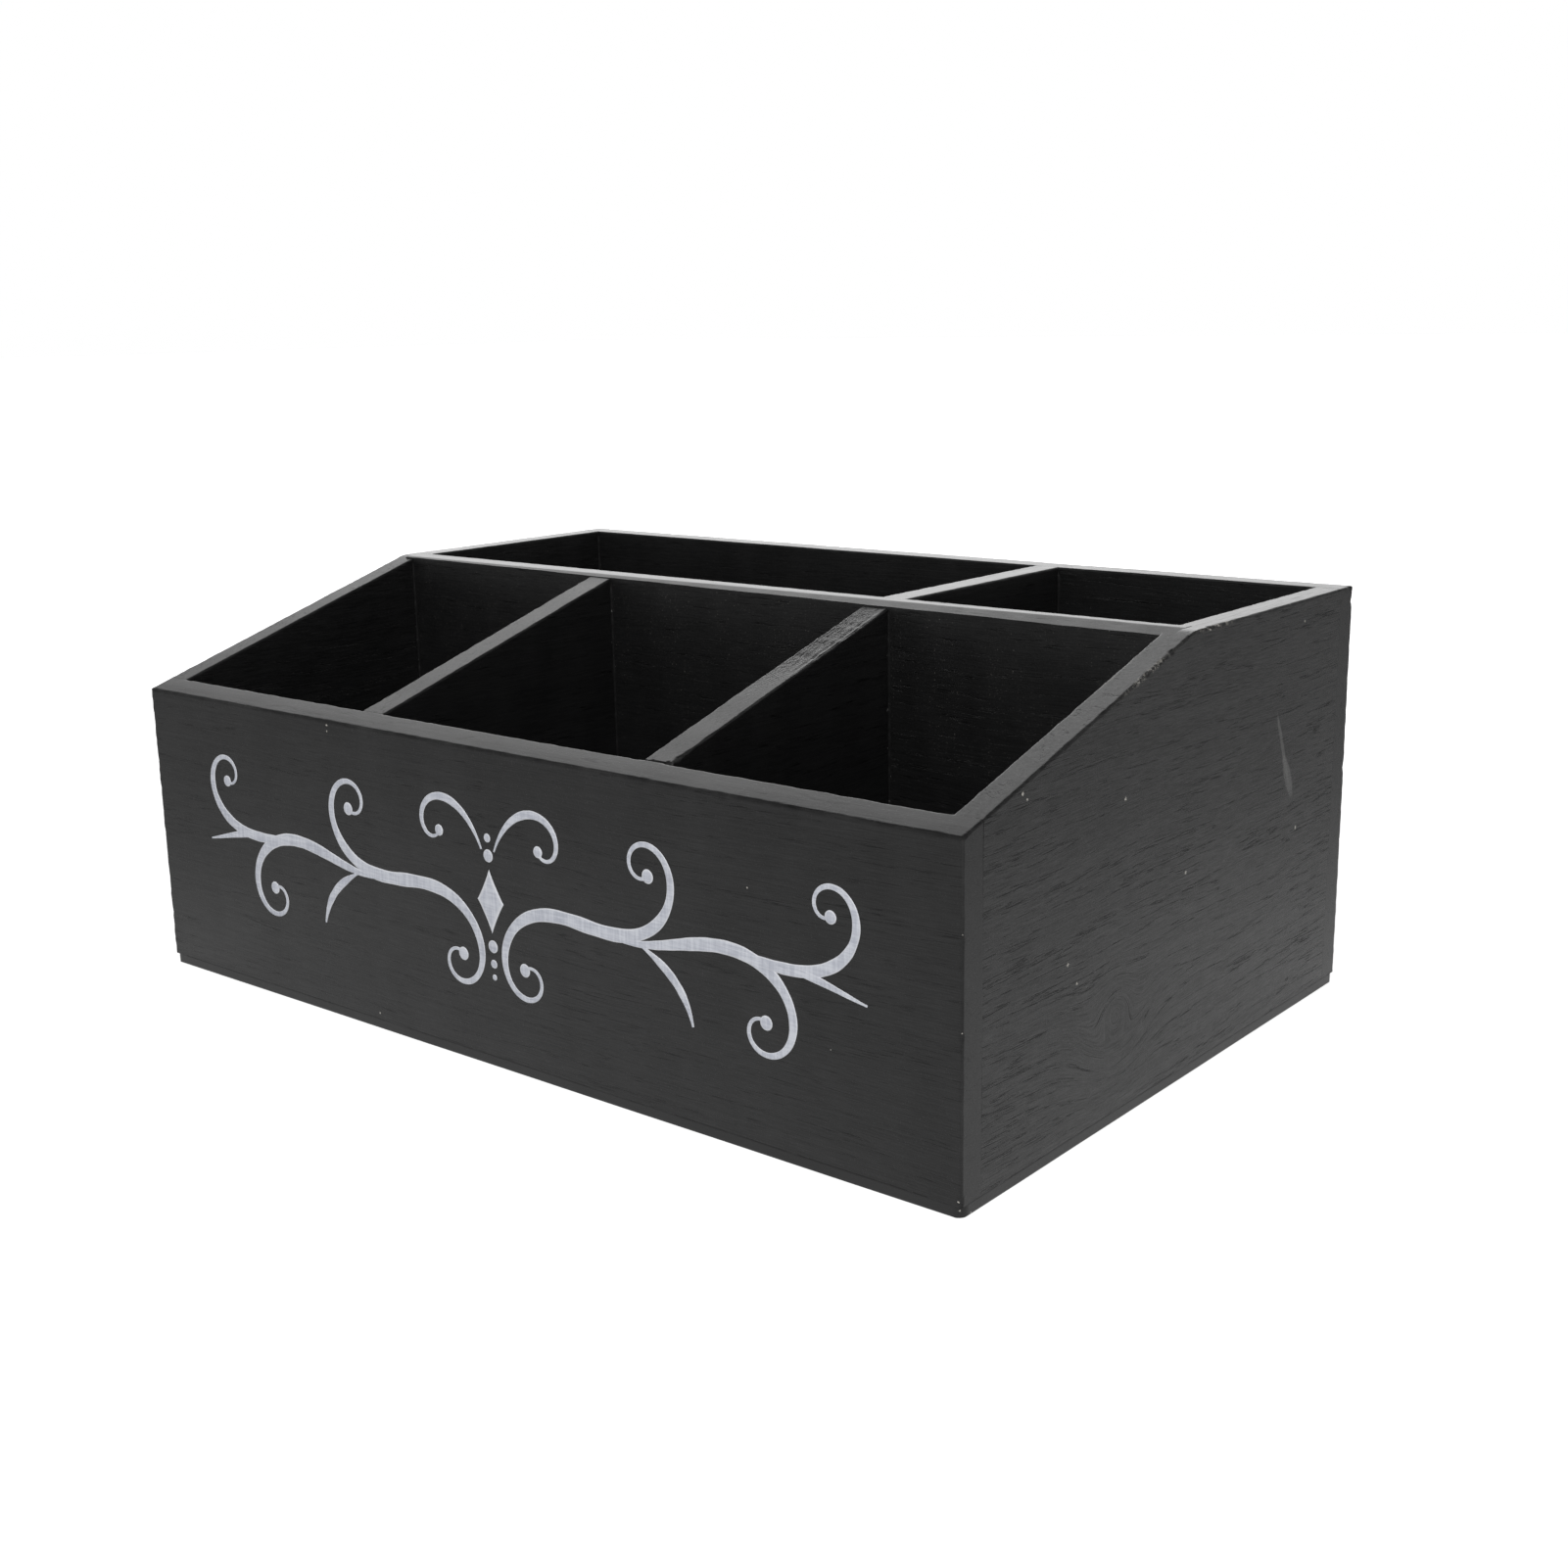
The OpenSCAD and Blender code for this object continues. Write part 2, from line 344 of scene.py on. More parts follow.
class Finish:
    """A material or world that is being mixed, and the one way to add a node to it."""

    def __init__(self, tree):
        self.tree = tree

    @classmethod
    def material(cls, name):
        made = bpy.data.materials.new(name)
        made.use_nodes = True
        finish = cls(made.node_tree)
        finish.made = made
        return finish

    def plug(self, socket, value):
        """Links a tone to a socket, or sets the socket to a value; three numbers become an opaque colour
        where it needs four."""
        if isinstance(value, Tone):
            self.tree.links.new(value.socket, socket)
        elif socket.type == "RGBA" and len(value) == 3:
            socket.default_value = (*value, 1)
        else:
            socket.default_value = value

    def node(self, kind, settings=None, inputs=None, output=0):
        """Adds a node: its settings first, then its sockets, and hands back one of its outputs."""
        made = self.tree.nodes.new(kind)
        for name, value in (settings or {}).items():
            setattr(made, name, value)
        for name, value in (inputs or {}).items():
            self.plug(made.inputs[name], value)
        return Tone(self, made.outputs[output])

    def surface(self, **sockets):
        """Sets or links sockets of the Principled shader, whose names have their spaces written as
        underscores."""
        shader = self.tree.nodes["Principled BSDF"]
        for name, value in sockets.items():
            self.plug(shader.inputs[name.replace("_", " ")], value)
        return self.made

    def mix(self, share, plain, other):
        """A colour between two colours."""
        return self.node("ShaderNodeMix", {"data_type": "RGBA"}, {0: share, 6: plain, 7: other}, 2)

    def millimetres(self):
        """The three object coordinates of the surface, in millimetres."""
        place = self.node("ShaderNodeTexCoord", output="Object")
        place = self.node("ShaderNodeVectorMath", {"operation": "SCALE"}, {"Vector": place, "Scale": 1000})
        return place, *self.parts(place)

    def parts(self, vector):
        """The three numbers of a vector."""
        x = self.node("ShaderNodeSeparateXYZ", inputs={0: vector})
        return x, x.output("Y"), x.output("Z")

    def vector(self, x, y, z):
        return self.node("ShaderNodeCombineXYZ", inputs={0: x, 1: y, 2: z})

    def noise(self, place, scale=1.0, detail=2.0, roughness=0.5):
        """Soft noise between 0 and 1, about 0.5 in the middle."""
        sockets = {"Vector": place, "Scale": scale, "Detail": detail, "Roughness": roughness}
        return self.node("ShaderNodeTexNoise", inputs=sockets)

    def cells(self, place, scale):
        """How far the nearest of many scattered points is, in units of the scale, and two chances from 0
        to 1 of its own for each point."""
        sockets = {"Vector": place, "Scale": scale}
        away = self.node("ShaderNodeTexVoronoi", inputs=sockets, output="Distance")
        chance = self.node("ShaderNodeSeparateColor", inputs={0: away.output("Color")})
        return away, chance, chance.output("Green")

    def fact(self, name):
        """A number that the mesh carries at its points."""
        return self.node("ShaderNodeAttribute", {"attribute_name": name}, output="Fac")

    def measure(self, operation, *vectors):
        """A number worked out from vectors: a length, a distance or a dot product."""
        return self.node("ShaderNodeVectorMath", {"operation": operation}, dict(enumerate(vectors)), "Value")

    def relief(self, height):
        """Bump from a height in millimetres."""
        sockets = {"Strength": 1.0, "Distance": MM, "Height": height}
        return self.node("ShaderNodeBump", inputs=sockets, output="Normal")

    def near(self, place, x, y, z, radius, ragged):
        """1 within the radius of a point, with a ragged outline."""
        away = self.measure("DISTANCE", place, (x, y, z))
        return (away + (ragged - 0.5) * radius * 4).rising(radius * 1.15, radius * 0.85)


BLACK_LOW = (0.0012, 0.0012, 0.0013)
BLACK_HIGH = (0.0135, 0.0135, 0.0137)
BLACK_WORN = (0.045, 0.045, 0.044)
SCUFFED = (0.10, 0.10, 0.098)
# The colour of unpainted wood at chips, specks and flakes, and of the painted glints on each nib
BARE_WOOD_AND_GLINT = (0.5, 0.48, 0.44)
PAINT_IOR = 1.36


def board_paint(
        name, along, knots=(), chips=(), scuffs=(), flaked=(), wrinkles=(), lines=1.0, dust=1.0, nib_glints=0.0):
    """Satin black paint brushed on a softwood board whose grain runs along x or y.

    The pores are noise on the board's height, stretched along the grain. Slow drift bends the height
    first, and round a knot it turns into the distance from the knot's middle, so that the lines close
    into rings there and flow past outside. A growth line is a thin contour of such a noise, broken up
    along its way. All of them press the paint in or out by a few hundredths of a millimetre, and the film
    on top, the coat, is thin where the wood is open. The colour is darker in the pressed-in pores and
    growth lines, as painted shade, and lighter on the raised grain, where dust lies. End grain and the
    sanded tops are smoother.

    Each wrinkle (place along the grain, reach, place across it) is a stretch of puckered paint, darker in
    its hollows as painted shade. Each knot is (place, height, reach along, reach up), each chip (x, y, z,
    radius), each scuff (place, height, reach along, reach up, lean), and each flake (place, reach) bares
    the rims there. Dust is specks scattered over the board. Nib glints are finer pale dots, painted glints
    on each nib of the paint, that thicken towards its top. A dark line, painted shade of an open joint,
    runs in stretches along its foot."""
    finish = Finish.material(name)
    place, x, y, z = finish.millimetres()
    run, across = (x, y) if along == "x" else (y, x)
    face_x, face_y, top = finish.parts(finish.node("ShaderNodeNewGeometry", output="Normal"))
    end = (face_x if along == "x" else face_y).size()
    grain = (1 - end.rising(0.5, 0.9) * 0.4 - top.rising(0.5, 0.9) * 0.5) * lines

    drift = finish.noise(finish.vector(run * 0.006, across * 0.03, z * 0.02), detail=1) - 0.5
    level = z + drift * 12
    for k_run, k_z, reach_run, reach_z in knots:
        a = (run - k_run) / reach_run
        b = (z - k_z) / reach_z
        far = a * a + b * b
        level = level + far.fading() * (far.math("SQRT", far) * reach_z + k_z - level)
    pores = finish.vector(run * 0.13, level * 3.6, across * 0.8)
    rings = finish.noise(pores, detail=4, roughness=0.7) - 0.5
    figure = finish.noise(finish.vector(run * 0.012, level * 0.27, across * 0.1), detail=2) - 0.5
    growth = figure.size().rising(0.02, 0.004) * rings.rising(0.03, -0.07)
    brush = finish.noise(finish.vector(run * 0.02, z * 3.0, across * 3.0), detail=2) - 0.5
    peel = finish.noise(place, scale=0.55, detail=3, roughness=0.6)
    grit = finish.noise(place, scale=1.5, detail=2, roughness=0.7).rising(0.6, 0.8)
    ragged = finish.noise(place, scale=3.0, detail=3, roughness=0.7)
    blotch = finish.noise(finish.vector(run * 0.06, z * 0.03, across * 0.05), detail=3, roughness=0.6)
    # Darker along the foot of the board: painted shade of an open joint to the sheet, where the paint is
    # also pressed in a little
    open_joint_and_shade = (z - SHEET_TOP).rising(0.55, 0.15) * blotch.rising(0.42, 0.54)
    # The grain's own tone, with painted shade: darker in the pressed-in pores and growth lines, lighter on
    # the raised grain where dust lies
    tone_and_groove_shade = grain * (rings * 1.5 + figure * 0.25 + (ragged - 0.5) * 0.8 - growth * 0.75)
    tone_and_groove_shade = tone_and_groove_shade + brush * 0.3 + (blotch - 0.5) * 0.3 - open_joint_and_shade

    height = grain * (rings * 0.07 - growth * 0.06) + brush * 0.012 + peel * 0.03 + grit * 0.06 - open_joint_and_shade * 0.1
    for w_run, reach, w_across in wrinkles:
        a = (run - w_run) / reach
        here = (a * a).fading() * across.rising(w_across + 4.5, w_across - 1.5)
        slanting = finish.vector((run * 2 + across) * 0.2, (across * 2 - run) * 0.85, z * 0.1)
        ripple = finish.noise(slanting, detail=2) - 0.5
        height = height + ripple * 1.3 * here
        # Darker in the hollows of each pucker: painted shade
        tone_and_groove_shade = tone_and_groove_shade - ripple.rising(-0.02, -0.12) * here
    relief = finish.relief(height)

    away, luck, size = finish.cells(place, 0.115)
    speck_radius = size * 0.014 + 0.012
    pale_marks = (away - speck_radius).rising(0.012, 0.0) * luck.rising(1 - 0.34 * dust, 1.01 - 0.34 * dust)
    for chip in chips:
        pale_marks = pale_marks.most(finish.near(place, *chip, ragged))
    rim = finish.fact("rim")
    for f_run, reach in flaked:
        a = (run - f_run) / reach
        flake = (peel * 0.5 + ragged * 0.5).rising(0.52, 0.57) * rim.rising(1.5, 0.4)
        pale_marks = pale_marks.most(flake * (a * a).fading() * 0.7)
    # Pale dots on each nib of the paint, more of them higher up and none on upward faces: painted glints
    if nib_glints:
        away, luck, size = finish.cells(place, 1.15)
        thick = (luck + z.rising(35, 125) * 0.8 + (blotch - 0.5) * 3.5).rising(1.0, 1.9)
        thick = thick * (1 - top.rising(0.1, 0.5)) * nib_glints
        pale_marks = pale_marks.most(away.rising(0.3, 0.12) * thick * size)
    worn = (rim + peel * 0.9).rising(1.15, 0.55) * blotch.rising(0.4, 0.7)
    scuffed = 0
    for s_run, s_z, reach_run, reach_z, lean in scuffs:
        a = (run - s_run - (z - s_z) * lean) / reach_run
        b = (z - s_z) / reach_z
        far = a * a + b * b + (peel - 0.5) * 1.2 + (ragged - 0.5) * 0.8
        scuffed = far.rising(1.1, 0.6) * 0.7 + scuffed

    film = (tone_and_groove_shade + 0.5).rising(0, 1)
    colour = finish.mix(film, BLACK_LOW, BLACK_HIGH)
    colour = finish.mix(worn * 0.4, colour, BLACK_WORN)
    if scuffs:
        colour = finish.mix(scuffed, colour, SCUFFED)
    colour = finish.mix(pale_marks, colour, BARE_WOOD_AND_GLINT)
    return finish.surface(
        Base_Color=colour, Roughness=0.38 + (blotch - 0.5) * 0.1 + pale_marks * 0.3, Normal=relief, IOR=PAINT_IOR,
        Coat_Weight=film * 0.7 * (1 - pale_marks), Coat_Roughness=0.36, Coat_IOR=1.4)


def sheet_paint():
    """The same black paint on the smooth bottom sheet: faint roller stipple, and the paint knocked off
    its front right corner."""
    finish = Finish.material("sheet_black")
    place, x, y, z = finish.millimetres()
    stipple = finish.noise(place, scale=1.6, detail=3, roughness=0.6)
    blotch = finish.noise(place, scale=0.04, detail=3)
    streak = finish.noise(finish.vector(x * 0.02, y * 1.1, z), detail=3)
    ragged = finish.noise(place, scale=3.0, detail=3, roughness=0.7)
    corner = finish.near(place, 159.2, -104.6, 1.9, 0.34, ragged)
    pale_marks = corner.most(finish.near(place, OUTER_X, -101.2, 0.5, 0.25, ragged))
    colour = finish.mix(blotch.rising(0.35, 0.7), (0.007, 0.007, 0.0071), (0.012, 0.012, 0.0122))
    colour = finish.mix(pale_marks, colour, BARE_WOOD_AND_GLINT)
    return finish.surface(
        Base_Color=colour, Roughness=0.4 + (stipple - 0.5) * 0.16, IOR=PAINT_IOR, Coat_Weight=0.4,
        Coat_Roughness=0.36, Coat_IOR=1.4, Normal=finish.relief(stipple * 0.02 + streak * 0.02))


def bead_paint():
    """The thick line of paint and glue in the inner corners: smoother than the boards, with runs, and pale
    crumbs that stand for glints along the corner, painted highlights."""
    finish = Finish.material("corner_bead_black")
    place, x, y, z = finish.millimetres()
    lump = finish.noise(finish.vector(x, y, z * 0.6), scale=0.9, detail=3, roughness=0.65)
    # Pale crumbs standing for glints along the corner: painted highlights
    glint_crumb = finish.noise(place, scale=0.9, detail=3).rising(0.67, 0.72)
    colour = finish.mix(glint_crumb, (0.004, 0.004, 0.0041), (0.11, 0.11, 0.107))
    return finish.surface(
        Base_Color=colour, Roughness=0.45 + lump * 0.2, IOR=1.3, Normal=finish.relief(lump * 0.1))


def pale_paint():
    """Pale blue-grey paint brushed on thinly: streaks that follow the board's grain, and a lighter tone
    along the raised edge of each stroke, a painted highlight."""
    finish = Finish.material("pale_scroll_paint")
    place, x, y, z = finish.millimetres()
    streak = finish.noise(finish.vector(x * 0.12, y, z * 1.5), detail=4, roughness=0.65)
    brushed = finish.noise(finish.vector(x * 1.3, y, z * 0.1), detail=3, roughness=0.6)
    wash = finish.noise(place, scale=0.16, detail=2)
    ridge_highlight = finish.fact("edge").rising(0.7, 0.95)
    thin = (streak * 0.5 + brushed * 0.45 + wash * 0.25).rising(0.45, 0.75)
    colour = finish.mix(thin, (0.66, 0.68, 0.735), (0.46, 0.48, 0.545))
    # Lighter along the raised edge of each stroke: a painted highlight
    colour = finish.mix(ridge_highlight * 0.7, colour, (0.76, 0.77, 0.80))
    return finish.surface(
        Base_Color=colour, Roughness=0.6 + (streak - 0.5) * 0.2, IOR=1.45,
        Normal=finish.relief(streak * 0.03 + wash * 0.02))


def brad_steel():
    """Bright drawn wire: finely scratched, and a little dull where the glue touched it."""
    finish = Finish.material("brad_wire")
    place = finish.millimetres()[0]
    drawn = finish.noise(place, scale=1.2, detail=3)
    glue = finish.noise(place, scale=0.35, detail=2).rising(0.5, 0.7)
    colour = finish.mix(glue, (0.62, 0.63, 0.65), (0.44, 0.43, 0.40))
    return finish.surface(
        Base_Color=colour, Metallic=1 - glue * 0.4, Roughness=0.28 + drawn * 0.2 + glue * 0.2,
        Normal=finish.relief(drawn * 0.01))


# Boards


def uneven(base, seed, axis, span=9.0, nicks=(), share=0.28):
    """The radius of an eased edge along an axis: the base with a wobble, and a wider bite at each nick
    (place, reach, bite)."""
    def radius(points):
        s = points[:, axis]
        r = base * (1 + share * wander(s, seed, span) + 0.5 * share * wander(s, seed + 50, span / 5))
        for place, reach, bite in nicks:
            r = r + bite * bump_at(s, place, reach) * (1 + 0.35 * wander(s, seed + 70, reach))
        return np.maximum(r, 0.05)
    return radius


def only(radius, axis, low, high, closed=0.07):
    """A radius that holds from low to high along the axis, and is closed up beyond, where another board
    meets the edge."""
    def limited(points):
        share = between(points[:, axis], low, high, 0.6)
        return closed + (radius(points) - closed) * share
    return limited


def front_panel(finish):
    """The low board across the front. Its top follows the slope of the sides."""
    low, high = cad_block("front_panel")
    inner = uneven(0.6, 101, 0)

    def inner_top(points):
        x = points[:, 0]
        open_share = between(x, -INNER_X, INNER_X, CLOSING)
        for mirrored in (-x, x):
            open_share = open_share * (1 - 0.75 * met(mirrored, FRONT_DIVIDER_NEAR, FRONT_DIVIDER_FAR))
        return JOINT + (inner(points) - JOINT) * open_share

    open_edges = {
        ("front", "top"): uneven(0.75, 103, 0, nicks=((-68.6, 0.7, 0.35), (152, 3, 0.3))),
        ("left", "top"): uneven(0.75, 104, 1),
        ("right", "top"): uneven(0.8, 105, 1),
        ("left", "front"): uneven(0.75, 106, 2, nicks=((18, 1.2, 0.5), (62, 0.8, 0.4))),
        ("right", "front"): uneven(
            0.7, 107, 2, nicks=((5, 1.5, 0.9), (36, 1.0, 0.3), (47, 0.8, 0.5), (71, 1.0, 0.45))),
    }
    joints = {
        ("back", "top"): inner_top, ("left", "back"): JOINT, ("right", "back"): JOINT,
        ("front", "bottom"): HAIRLINE, ("left", "bottom"): HAIRLINE, ("right", "bottom"): HAIRLINE,
    }
    points, faces = block_skin(
        spaced(low[0], high[0], 1.3), spaced(low[1], high[1], 0.8),
        spaced(low[2], high[2], 1.6, marks=((5, 2, 0.5), (47, 1.5, 0.6), (71, 1.5, 0.6))))
    rim = rim_distance(points, low, high, open_edges)
    shaped = ease_edges(points, low, high, {**open_edges, **joints})
    shaped = sink_faces(shaped, low, high, ("front", "left", "right"))
    top = slope_height(points[:, 1]) + 0.04 * wander(points[:, 0], 109, 60) - 0.04
    shaped = lay_top(shaped, low[2], high[2], top)
    return piece("front_board", shaped, faces, finish, "black_painted_board", ("front_panel",), rim=rim)


def back_panel(finish):
    """The high board across the back, level on top."""
    low, high = cad_block("back_panel")
    inner = uneven(0.6, 121, 0)

    def inner_top(points):
        x = points[:, 0]
        open_share = between(x, -INNER_X, INNER_X, CLOSING)
        open_share = open_share * (1 - met(x, REAR_DIVIDER_NEAR, REAR_DIVIDER_FAR))
        return JOINT + (inner(points) - JOINT) * open_share

    open_edges = {
        ("back", "top"): uneven(0.8, 123, 0, nicks=((12, 1.5, 0.4), (60, 2, 0.35), (-118, 1, 0.4))),
        ("left", "top"): uneven(0.8, 124, 1),
        ("right", "top"): uneven(0.8, 125, 1, nicks=((103, 1.2, 0.6),)),
        ("left", "back"): uneven(0.75, 126, 2, nicks=((66, 2.2, 1.3), (30, 1, 0.5))),
        ("right", "back"): uneven(0.75, 127, 2, nicks=((122, 1.4, 0.9), (70, 1.0, 0.6), (47, 1.5, 0.5))),
    }
    joints = {
        ("front", "top"): inner_top, ("left", "front"): JOINT, ("right", "front"): JOINT,
        ("back", "bottom"): HAIRLINE, ("left", "bottom"): HAIRLINE, ("right", "bottom"): HAIRLINE,
    }
    points, faces = block_skin(
        spaced(low[0], high[0], 1.4), spaced(low[1], high[1], 0.8),
        spaced(low[2], high[2], 1.7, marks=((66, 3, 0.5), (122, 2, 0.5))))
    rim = rim_distance(points, low, high, open_edges)
    shaped = ease_edges(points, low, high, {**open_edges, **joints})
    shaped = sink_faces(shaped, low, high, ("back", "left", "right"))
    shaped = lay_top(shaped, low[2], high[2], high[2] - 0.08 + 0.035 * wander(points[:, 0], 129, 60))
    return piece("back_board", shaped, faces, finish, "black_painted_board", ("back_panel",), rim=rim)


def side_board(finish, side):
    """A side: a block whose top follows the slope and the bend, and whose inner face steps back by the
    depth of the groove between the groove's two walls, all the way up. side is 1 for the right one and -1
    for the left one."""
    node = "right_side" if side > 0 else "left_side"
    outer, inner = ("right", "left") if side > 0 else ("left", "right")
    low, high = cad_block(node)
    seed = 140 if side > 0 else 160
    nicks = ((-40, 1.5, 0.5), (30, 1.2, 0.5))
    if side > 0:
        nicks = ((-9, 1.6, 0.7), (-15, 1.2, 0.5), (-22, 1.5, 0.45), (7, 1.2, 0.5), (12.5, 1.3, 0.9),
                 (18, 2, 0.5), (-60, 2, 0.35))
    walls = (LONG_FRONT_Y - GLUE_GAP, LONG_BACK_Y + GLUE_GAP)
    ys = spaced(low[1], high[1], 1.3, marks=((-14, 14, 0.9), (5, 9, 0.8), (12.5, 6, 0.8)))
    # Two rows of points close together stand at each wall, for its sharp step
    ys = ys[np.min(np.abs(ys[:, None] - np.array(walls)), axis=1) > 0.12]
    ys = np.sort(np.concatenate([ys, [wall + shift for wall in walls for shift in (-0.01, 0.01)]]))
    points, faces = block_skin(spaced(low[0], high[0], 0.8), ys, spaced(low[2], high[2], 1.7))

    edge = uneven(0.6, seed + 1, 1)

    def inner_radius(p):
        return JOINT + (edge(p) - JOINT) * (1 - met(p[:, 1], walls[0] - CLOSING, walls[1] + CLOSING))

    open_edges = {(outer, "top"): uneven(0.75, seed + 2, 1, nicks=nicks), (inner, "top"): inner_radius}
    joints = {
        ("front", "top"): HAIRLINE, ("back", "top"): HAIRLINE,
        (outer, "front"): JOINT, (outer, "back"): JOINT, (outer, "bottom"): HAIRLINE,
    }
    rim = rim_distance(points, low, high, open_edges)
    shaped = ease_edges(points, low, high, {**open_edges, **joints})
    shaped = sink_faces(shaped, low, high, (outer,))
    in_groove = (points[:, 1] > walls[0]) & (points[:, 1] < walls[1])
    from_outer = depth_under(points, low, high, outer) / (high[0] - low[0])
    shaped[:, 0] += side * in_groove * from_outer * (GROOVE_X - INNER_X)
    top = slope_height(points[:, 1]) - 0.08 + 0.035 * wander(points[:, 1], seed + 5, 50)
    shaped = lay_top(shaped, low[2], high[2], top)
    return piece(f"{outer}_board", shaped, faces, finish, "black_painted_board", (node,), rim=rim)


def long_divider(finish):
    """The full-width divider. The slope cuts a bevel on its front top edge, narrow at the left end and
    wide at the right end."""
    low, high = cad_block("long_divider")
    points, faces = block_skin(
        spaced(low[0], high[0], 1.5), spaced(low[1], high[1], 0.35), spaced(low[2], high[2], 1.9))
    edge_front, edge_back = uneven(0.45, 181, 0), uneven(0.6, 182, 0)
    x = points[:, 0]

    def back_top(p):
        return JOINT + (edge_back(p) - JOINT) * (1 - met(p[:, 0], REAR_DIVIDER_NEAR, REAR_DIVIDER_FAR))

    easings = {
        ("front", "top"): only(edge_front, 0, -INNER_X, INNER_X),
        ("back", "top"): only(back_top, 0, -INNER_X, INNER_X),
    }
    rim = rim_distance(points, low, high, easings)
    shaped = ease_edges(points, low, high, easings)
    width = 1.2 + 4.6 * np.clip((x + INNER_X) / (2 * INNER_X), 0, 1) ** 1.3 + 0.35 * wander(x, 183, 40)
    cut = high[2] - np.maximum(LONG_FRONT_Y + width - shaped[:, 1], 0) * SLOPE
    uncut = high[2] - 4
    z = shaped[:, 2]
    z = np.where(z > uncut, lower_of(z, cut, 0.05), z)
    shaped[:, 2] = np.where(points[:, 2] > uncut, np.minimum(z, points[:, 2]), z)
    return piece("long_board", shaped, faces, finish, "black_painted_board", ("long_divider",), rim=rim)


def rear_divider(finish):
    """The short board between the long divider and the back panel, level with both."""
    low, high = cad_block("rear_divider")
    points, faces = block_skin(
        spaced(low[0], high[0], 0.8), spaced(low[1], high[1], 1.3), spaced(low[2], high[2], 1.9))
    easings = {("left", "top"): uneven(0.65, 201, 1), ("right", "top"): uneven(0.65, 202, 1)}
    rim = rim_distance(points, low, high, easings)
    shaped = ease_edges(points, low, high, {**easings, ("front", "top"): 0.06, ("back", "top"): 0.06})
    shaped = lay_top(shaped, low[2], high[2], high[2] - 0.08 + 0.03 * wander(points[:, 1], 203, 30))
    return piece(
        "rear_short_board", shaped, faces, finish, "black_painted_board", ("rear_divider",), rim=rim)


def front_divider(finish, side):
    """A short sloping board between the front panel and the long divider. The right one lies a little
    lower, is notched where it meets the front panel, and has thick paint smeared over its rear half."""
    node = "right_front_divider" if side > 0 else "left_front_divider"
    low, high = cad_block(node)
    seed = 220 if side > 0 else 240
    drop = 0.9 if side > 0 else 0.15
    nicks = ((-92, 1.6, 0.6), (-88.5, 0.9, 0.4), (-30, 1.5, 0.3)) if side > 0 else ((-20, 1.2, 0.3),)
    points, faces = block_skin(
        spaced(low[0], high[0], 0.6), spaced(low[1], high[1], 1.1, marks=((-92, 3, 0.6), (-2, 5, 0.7))),
        spaced(low[2], high[2], 1.9))
    easings = {
        ("left", "top"): uneven(0.6, seed + 1, 1),
        ("right", "top"): uneven(0.6, seed + 2, 1, nicks=nicks),
    }
    front_end, back_end = (1.3, 0.3) if side > 0 else (0.1, 0.12)
    ends = {("front", "top"): front_end, ("back", "top"): back_end}
    rim = rim_distance(points, low, high, easings)
    shaped = ease_edges(points, low, high, {**easings, **ends})
    x, y = points[:, 0], points[:, 1]
    top = FRONT_TOP + SLOPE * (y - FRONT_Y) - drop + 0.04 * wander(y, seed + 3, 30)
    if side > 0:
        smear = between(y, -44, 1.5, 12)
        top = top + smear * (0.1 * wander(x, seed + 4, 2.4) + 0.1 * wander(y, seed + 5, 5) - 0.12)
        notch = 1.7 + 0.8 * (x - low[0]) / (high[0] - low[0])
        top = top - 2.2 * np.clip((INNER_FRONT_Y + notch - y) / 0.3, 0, 1)
    shaped = lay_top(shaped, low[2], high[2], top)
    name = "right_short_board" if side > 0 else "left_short_board"
    return piece(name, shaped, faces, finish, "black_painted_board", (node,), rim=rim)


def bottom_sheet(finish):
    """The thin sheet under all the walls: rounded corners in plan, and a shallow painted-over dimple at
    each brad underneath."""
    low, high = cad_block("bottom_sheet")
    end_x, end_y, back_end_y = 139.5, -85.0, 84.5
    front_y, back_y = (FRONT_Y + INNER_FRONT_Y) / 2, (INNER_BACK_Y + BACK_Y) / 2
    long_y, side_x = (LONG_FRONT_Y + LONG_BACK_Y) / 2, (INNER_X + OUTER_X) / 2
    panels = [(x, y) for x in np.linspace(-end_x, end_x, 5) for y in (front_y, back_y)]
    long_row = [(x, long_y) for x in np.linspace(-end_x, end_x, 4)]
    sides = [(x, y) for x in (-side_x, side_x) for y in np.linspace(end_y, back_end_y, 4)]
    shorts = [(x, y) for x in (-FRONT_DIVIDER_X, FRONT_DIVIDER_X) for y in (-73.0, -23.0)]
    shorts += [(REAR_DIVIDER_X, y) for y in (22.0, back_end_y)]
    brads = np.array(panels + long_row + sides + shorts)
    near_x, near_y = ([(place, 1.6, 0.7) for place in np.unique(row.round(3))] for row in brads.T)
    points, faces = block_skin(
        spaced(low[0], high[0], 3.5, fine=0.3, reach=3, marks=near_x),
        spaced(low[1], high[1], 3.5, fine=0.3, reach=3, marks=near_y),
        spaced(low[2], high[2], 0.6, fine=0.3, reach=0.4))
    outer = ("front", "back", "left", "right")
    corners = {(end, face): 3.0 for face in ("front", "back") for end in ("left", "right")}
    levels = {"top": HAIRLINE, "bottom": 0.35}
    easings = {(face, level): radius for face in outer for level, radius in levels.items()}
    rim = rim_distance(points, low, high, [(face, "bottom") for face in outer])
    shaped = ease_edges(points, low, high, corners)
    shaped = ease_edges(shaped, low, high, easings)
    shaped = sink_faces(shaped, low, high, outer)
    away = np.hypot(points[:, None, 0] - brads[:, 0], points[:, None, 1] - brads[:, 1])
    dimple = 0.3 * np.exp(-((away / 0.9) ** 2)).sum(1)
    shaped[:, 2] += np.where(points[:, 2] < low[2] + 0.01, dimple, 0)
    return piece("bottom_board", shaped, faces, finish, "black_painted_sheet", ("bottom_sheet",), rim=rim)


